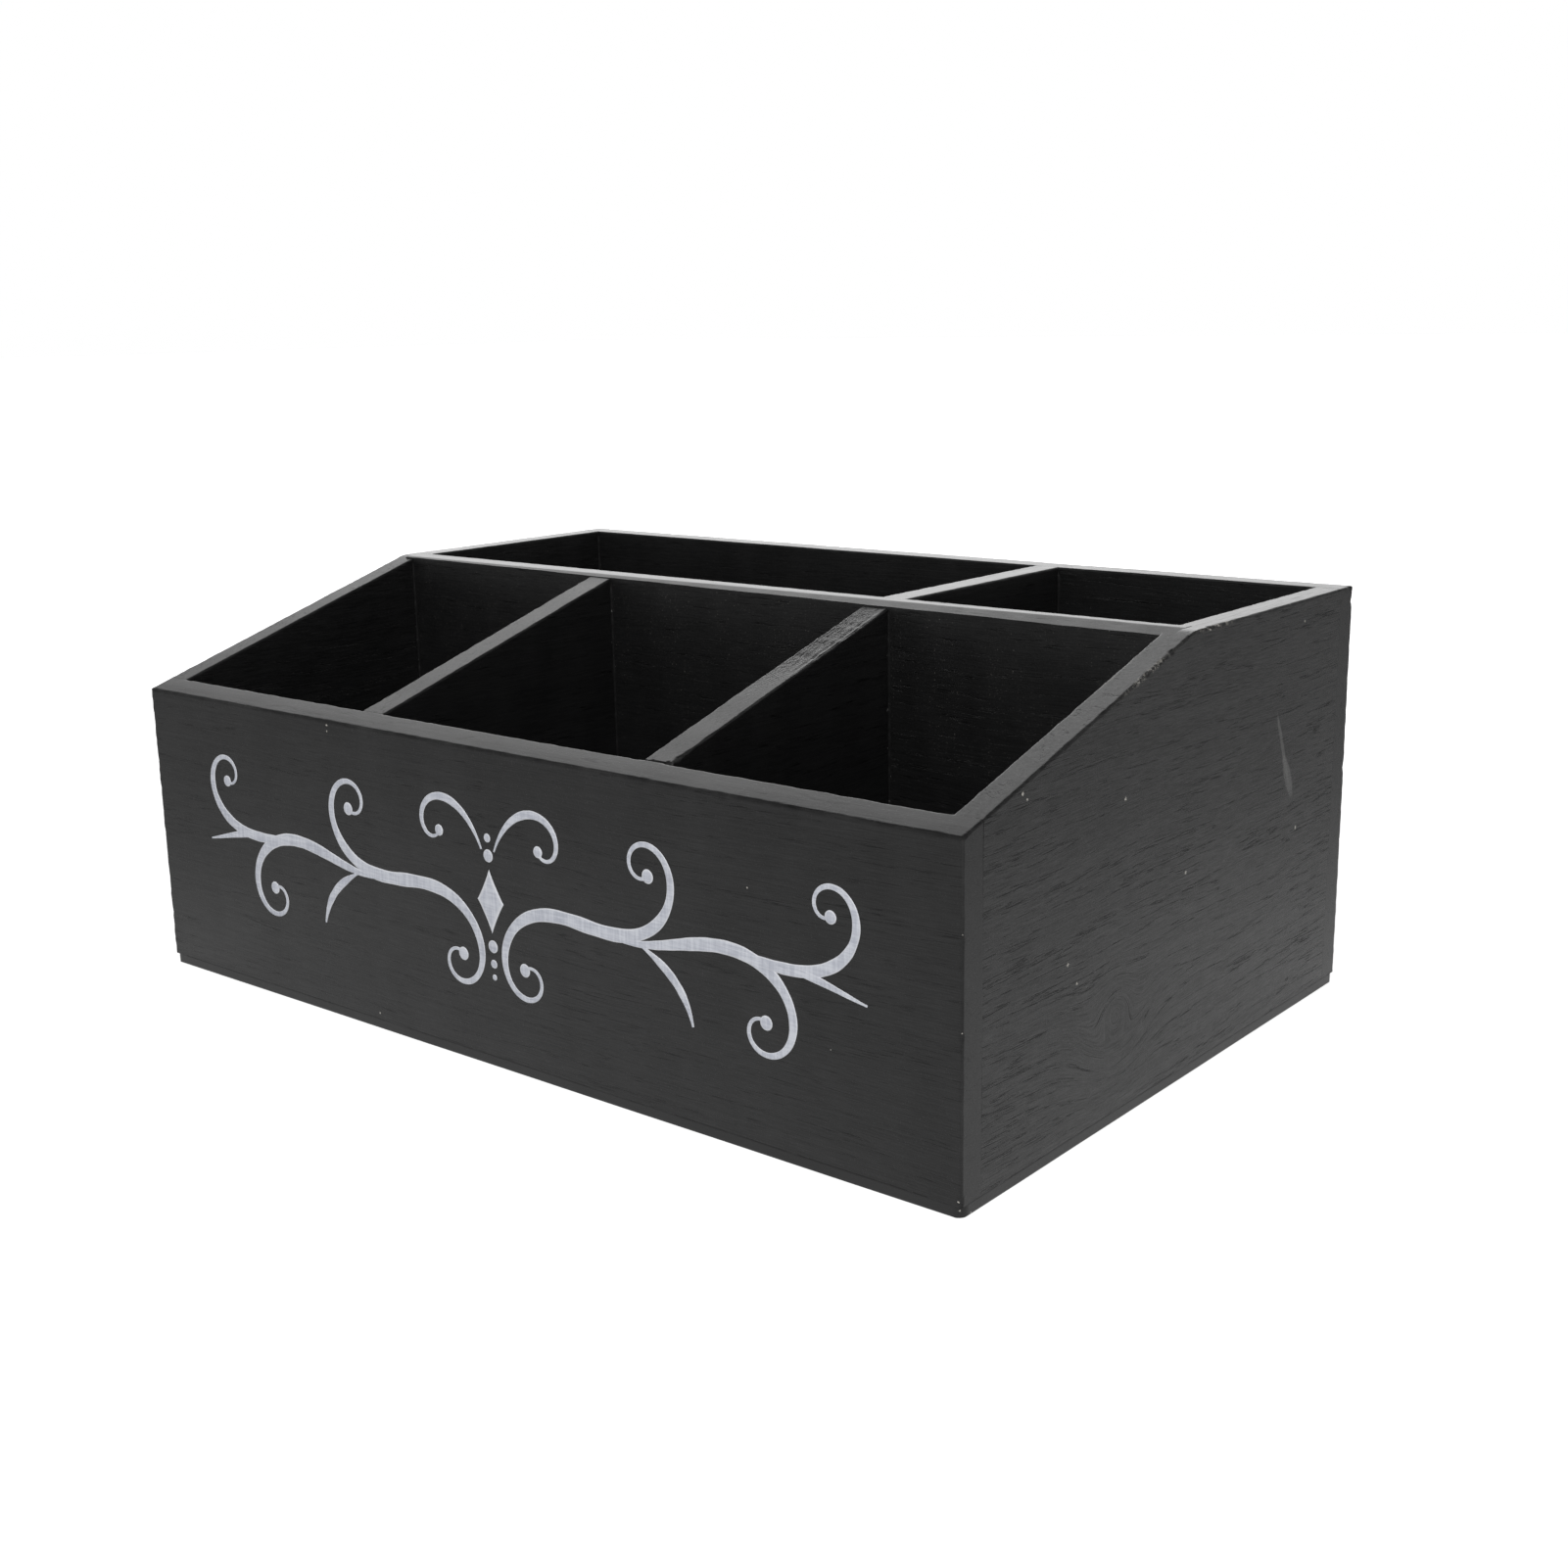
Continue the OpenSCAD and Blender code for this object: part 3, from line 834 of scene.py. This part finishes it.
def corner_beads(finish):
    """The thin uneven line of paint and glue in each inner corner: a hollow quarter round carried along
    the corner, its size wobbling along the way and closing to nothing at both ends."""
    cells = [
        (-INNER_X, -FRONT_DIVIDER_FAR, INNER_FRONT_Y, LONG_FRONT_Y, True),
        (-FRONT_DIVIDER_NEAR, FRONT_DIVIDER_NEAR, INNER_FRONT_Y, LONG_FRONT_Y, True),
        (FRONT_DIVIDER_FAR, INNER_X, INNER_FRONT_Y, LONG_FRONT_Y, True),
        (-INNER_X, REAR_DIVIDER_NEAR, LONG_BACK_Y, INNER_BACK_Y, False),
        (REAR_DIVIDER_FAR, INNER_X, LONG_BACK_Y, INNER_BACK_Y, False),
    ]
    up = np.array([0, 0, 1.0])
    lines = []
    for x0, x1, y0, y1, sloping in cells:
        for x, sx in ((x0, 1), (x1, -1)):
            for y, sy in ((y0, 1), (y1, -1)):
                top = float(slope_height(y)) if sloping else BACK_TOP
                lines.append(((x, y, SHEET_TOP), (x, y, top - 1.6), (sx, 0, 0), (0, sy, 0)))
        for y, sy in ((y0, 1), (y1, -1)):
            lines.append(((x0, y, SHEET_TOP), (x1, y, SHEET_TOP), (0, sy, 0), up))
        for x, sx in ((x0, 1), (x1, -1)):
            lines.append(((x, y0, SHEET_TOP), (x, y1, SHEET_TOP), (sx, 0, 0), up))
    turn = np.linspace(0, np.pi / 2, 6)
    across = np.concatenate([[-0.1], 1 - np.sin(turn)])
    upward = np.concatenate([[-0.1], 1 - np.cos(turn)])
    grids = []
    for number, (a, b, first, second) in enumerate(lines):
        a, b, first, second = (np.array(v, float) for v in (a, b, first, second))
        length = np.linalg.norm(b - a)
        t = np.linspace(0, 1, int(length / 1.1) + 2)
        s = t * length
        size = 0.75 * (1 + 0.3 * wander(s, 300 + number, 14) + 0.3 * wander(s, 400 + number, 3.2))
        size = (np.maximum(size, 0.12) * np.clip(np.minimum(s, length - s) / 2, 0.02, 1))[:, None, None]
        path = (a + (b - a) * t[:, None])[:, None, :]
        grids.append(path + size * (across[:, None] * first + upward[:, None] * second))
    points, faces = join_shells(grids)
    return piece("corner_beads", points, faces, finish, "black_painted_board", smooth=60)


# The scrolls painted on the front board. For each stroke: where along it the stroke is held (0 its start,
# 0.5 its middle), that place from the middle of the lozenge, the heading there, the length, how sharply it
# bends along the way, its widths, and the dots at its two ends
SCROLLS = (
    (0.5, (37.0, 0.0), -5, 148, (-0.30, -0.13, -0.066, -0.040, 0.0, 0.040, 0.066, 0.13, 0.30),
     (0.9, 1.6, 2.7, 3.8, 4.2, 3.8, 2.7, 1.6, 0.9), (2.0, 2.0)),
    (0.0, (46.0, -1.2), -8, 104, (0.024, 0.016, -0.008, -0.030, -0.053, -0.088, -0.145, -0.32),
     (0.5, 2.3, 3.6, 4.0, 3.4, 2.4, 1.5, 0.9), (0, 2.0)),
    (0.0, (83.0, 3.7), -4, 82, (-0.004, 0.0, 0.016, 0.040, 0.070, 0.11, 0.18, 0.36),
     (0.5, 2.4, 3.3, 3.4, 2.9, 2.0, 1.3, 0.8), (0, 1.8)),
    (0.0, (103.0, 2.6), 0, 30, (-0.012, -0.016, -0.010, 0.0, 0.012), (0.5, 2.0, 2.2, 1.4, 0.5), (0, 0)),
    (0.0, (2.6, 15.0), 66, 46, (-0.03, -0.045, -0.07, -0.115, -0.18, -0.36),
     (0.5, 1.7, 2.6, 2.1, 1.4, 0.8), (0, 1.7)),
    (0.0, (58.0, -1.6), -24, 27, (-0.012, -0.03, -0.05, -0.03), (0.5, 2.6, 2.6, 0.5), (0, 0)),
)
SCROLL_MIDDLE_Z = 50.0
DOTS = ((13.4, 1.9), (-13.4, 1.9), (18.6, 1.3), (-18.6, 1.3), (-22.6, 0.9))


def scroll_line(hold, place, heading, length, bends, widths):
    """A freehand stroke: its bend at each place is smoothed from the given ones and summed into its
    heading, and the heading is summed into its line. Gives the line, half the width and the heading along
    it."""
    t = np.linspace(0, 1, int(length / 0.7) + 2)
    window = max(3, len(t) // 10) | 1

    def flowing(values):
        even = np.interp(t, np.linspace(0, 1, len(values)), values)
        return np.convolve(np.pad(even, window // 2, mode="edge"), np.ones(window) / window, "valid")

    def summed(rates):
        steps = (rates[1:] + rates[:-1]) / 2 * (t[1] * length)
        return np.concatenate([np.zeros_like(rates[:1]), np.cumsum(steps, axis=0)])

    held = round(hold * (len(t) - 1))
    angle = summed(flowing(bends))
    angle += math.radians(heading) - angle[held]
    line = summed(np.stack([np.cos(angle), np.sin(angle)], 1))
    return line - line[held] + np.array(place), flowing(widths) / 2, angle


def front_scrolls(finish):
    """Pale scrolls painted on the front board, the same to the left and the right of a lozenge. Each
    stroke is a low flat film with rounded borders, carried along its line; each dot and the lozenge is
    such a film carried round its outline."""
    border = np.array([-1, -0.96, -0.86, -0.5, 0, 0.5, 0.86, 0.96, 1, 1, -1])
    rise = np.array([0, 0.6, 1, 0.93, 0.9, 0.93, 1, 0.6, 0, -0.5, -0.5])
    shapes = []
    for number, (hold, place, heading, length, bends, widths, dots) in enumerate(SCROLLS):
        line, half, angle = scroll_line(hold, place, heading, length, bends, widths)
        half = half * (1 + 0.05 * wander(np.arange(len(half)), 500 + number, 22))
        side = np.stack([-np.sin(angle), np.cos(angle)], 1)
        flat = line[:, None, :] + side[:, None, :] * (half[:, None] * border)[..., None]
        film = 0.13 + 0.012 * number
        along = np.ones((len(half), 1))
        shapes.append((flat, film * rise * along, np.abs(border) * along))
        for end, radius in zip((0, -1), dots):
            if radius:
                shapes.append(blot(line[end], radius, radius, 1.0, film + 0.02))
    twins = [(flat * (-1, 1), lift, edge) for flat, lift, edge in shapes]
    shapes += twins + [blot((0, z), radius, radius, 1.0, 0.15) for z, radius in DOTS]
    shapes.append(blot((0, 0), 5.4, 9.5, 2.2, 0.16))
    grids = []
    for flat, lift, edge in shapes:
        x, z = flat[..., 0], flat[..., 1] + SCROLL_MIDDLE_Z
        board = FRONT_Y + skin_depth("front", x, z)
        grids.append(np.stack([x, np.maximum(board - lift, FRONT_Y), z], -1))
    points, faces = join_shells(grids)
    edge = np.concatenate([edge.ravel() for _, _, edge in shapes])
    return piece("front_scrolls", points, faces, finish, "pale_paint", smooth=50, edge=edge)


def blot(middle, wide, high, hollow, film):
    """A dot, or with a hollow above 1 a lozenge with hollow sides: the cosine and sine of the turn, each
    to that power, out from the middle in rings, and back underneath."""
    turn = np.linspace(0, 2 * np.pi, 49)[:-1]
    rings = np.array([0.05, 0.5, 0.86, 0.96, 1, 1, 0.05])
    rise = np.array([1, 0.97, 0.85, 0.5, 0, -0.4, -0.4])

    def hollowed(wave):
        return np.sign(wave) * np.abs(wave) ** hollow

    outline = np.stack([wide * hollowed(np.cos(turn)), high * hollowed(np.sin(turn))], 1)
    flat = np.array(middle) + rings[:, None, None] * outline
    shape = np.ones((1, len(turn)))
    return flat, film * rise[:, None] * shape, rings[:, None] * shape


# The stage


def camera():
    """The camera of the lower, larger view: where it stood, which way it looked and its lens, with the
    picture moved to the middle of the frame."""
    right = (0.77545, 0.63117, -0.0174)
    up = (-0.13628, 0.19422, 0.97145)
    back = (0.61653, -0.75093, 0.23662)
    data = bpy.data.cameras.new("camera")
    data.lens = 44.385
    data.sensor_width = 36.0
    data.clip_start = 0.01
    made = bpy.data.objects.new("camera", data)
    bpy.context.scene.collection.objects.link(made)
    turn = Matrix((right, up, back)).transposed()
    made.matrix_world = Matrix.Translation((0.3958, -0.4560, 0.2098)) @ turn.to_4x4()
    bpy.context.scene.camera = made


def floor():
    """A wide pale floor. To the camera it is lifted to white away from the box, and a little less near
    it, so that the box keeps its soft shadow."""
    finish = Finish.material("pale_floor")
    place = finish.millimetres()[0]
    seen = finish.node("ShaderNodeLightPath", output="Is Camera Ray")
    mirrored = seen.output("Is Glossy Ray")
    away = finish.measure("LENGTH", place)
    lift = seen * (0.62 + 0.38 * away.rising(200, 600)) + mirrored * 0.32 * away.rising(450, 150)
    glow = finish.vector(lift, lift, lift)
    finish.surface(
        Base_Color=(0.78, 0.78, 0.78), Roughness=0.9, Specular_IOR_Level=0.1, Emission_Color=glow,
        Emission_Strength=1.0)
    half = 12.0
    corners = [(-half, -half, 0), (half, -half, 0), (half, half, 0), (-half, half, 0)]
    mesh = bpy.data.meshes.new("floor")
    mesh.from_pydata(corners, [], [(0, 1, 2, 3)])
    mesh.materials.append(finish.made)
    made = bpy.data.objects.new("floor", mesh)
    bpy.context.scene.collection.objects.link(made)


def tent():
    """A grey light tent as the world, dimmer overhead, with the soft glow of a wide window behind the
    left end and a fainter one in front. To the camera it is plain white."""
    world = bpy.data.worlds.new("tent")
    bpy.context.scene.world = world
    world.use_nodes = True
    finish = Finish(world.node_tree)
    way = finish.node("ShaderNodeTexCoord", output="Generated")
    rise = finish.parts(way)[2]
    seen = finish.node("ShaderNodeLightPath", output="Is Camera Ray")
    window = finish.measure("DOT_PRODUCT", way, (-0.617, 0.747, 0.249)).rising(0.8, 1.0)
    front = finish.measure("DOT_PRODUCT", way, (0, -0.94, 0.34)).rising(0.7, 1.0)
    level = 0.27 - 0.25 * rise.rising(0.55, 0.95) + 2.0 * window + 0.35 * front
    background = world.node_tree.nodes["Background"]
    background.inputs["Color"].default_value = (1, 1, 1, 1)
    finish.plug(background.inputs["Strength"], seen + (1 - seen) * level)


def lamp(name, place, aim, size, watts):
    """A square soft lamp that faces a point."""
    data = bpy.data.lights.new(name, "AREA")
    data.size = size
    data.energy = watts
    made = bpy.data.objects.new(name, data)
    bpy.context.scene.collection.objects.link(made)
    back = np.array(place) - np.array(aim)
    back /= np.linalg.norm(back)
    right = np.cross((0, 0, 1), back)
    right /= np.linalg.norm(right)
    up = np.cross(back, right)
    made.matrix_world = Matrix.Translation(place) @ Matrix((right, up, back)).transposed().to_4x4()


bpy.context.scene.view_settings.view_transform = "Standard"
camera()
tent()
floor()
lamp("lamp_by_camera", (0.9, -1.2, 1.4), (0, 0, 0.05), 0.9, 25)

grain_front = board_paint(
    "black_paint_front", "x", lines=0.35, dust=0.35,
    chips=((-68.6, -105.3, 92.6, 0.3), (-68.7, -105.3, 90.8, 0.25), (159.6, -105.0, 71, 0.13),
           (159.6, -105.0, 47, 0.15), (158.9, -105.2, 4.4, 0.22)))
grain_back = board_paint(
    "black_paint_back", "x", lines=0.5, dust=1.0, flaked=((-15, 5),),
    chips=((-OUTER_X, 105.5, 66.5, 1.5), (-14, 105.4, 126.2, 0.4), (OUTER_X, 105.4, 70, 0.5),
           (OUTER_X, 105.3, 47, 0.5)))
grain_long = board_paint("black_paint_long", "x", lines=0.5, dust=0.3, nib_glints=0.3)
grain_right = board_paint(
    "black_paint_right", "y", knots=((-34, 30, 15, 13),), flaked=((-21, 9), (16, 8)), lines=0.9, dust=0.6,
    scuffs=((60.5, 84, 1.0, 12, -0.42), (64.5, 75, 2.4, 7, -0.45)),
    chips=[(OUTER_X, y, z, radius) for y, z, radius in (
        (12.5, 125.6, 0.4), (-78.5, 97.5, 0.32), (-80.5, 99.2, 0.42), (71.7, 120, 0.35),
        (-58.5, 50.8, 0.45), (-54, 44.6, 0.35), (71.6, 58, 0.5), (2.6, 60.2, 0.45), (-31.5, 88, 0.45))])
grain_left = board_paint("black_paint_left", "y", knots=((50, 60, 15, 13),), lines=0.9, dust=0.6)
grain_short = board_paint("black_paint_short", "y", dust=0.3, lines=0.5)
grain_smeared = board_paint(
    "black_paint_smeared", "y", wrinkles=((-12, 28, FRONT_DIVIDER_X),), dust=0.3, lines=0.5)

front_panel(grain_front)
back_panel(grain_back)
side_board(grain_right, 1)
side_board(grain_left, -1)
long_divider(grain_long)
rear_divider(grain_short)
front_divider(grain_short, -1)
front_divider(grain_smeared, 1)
bottom_sheet(sheet_paint())
corner_beads(bead_paint())
front_scrolls(pale_paint())

steel = brad_steel()
for name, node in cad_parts.items():
    if name.endswith("_brads"):
        node.data.materials.clear()
        node.data.materials.append(steel)
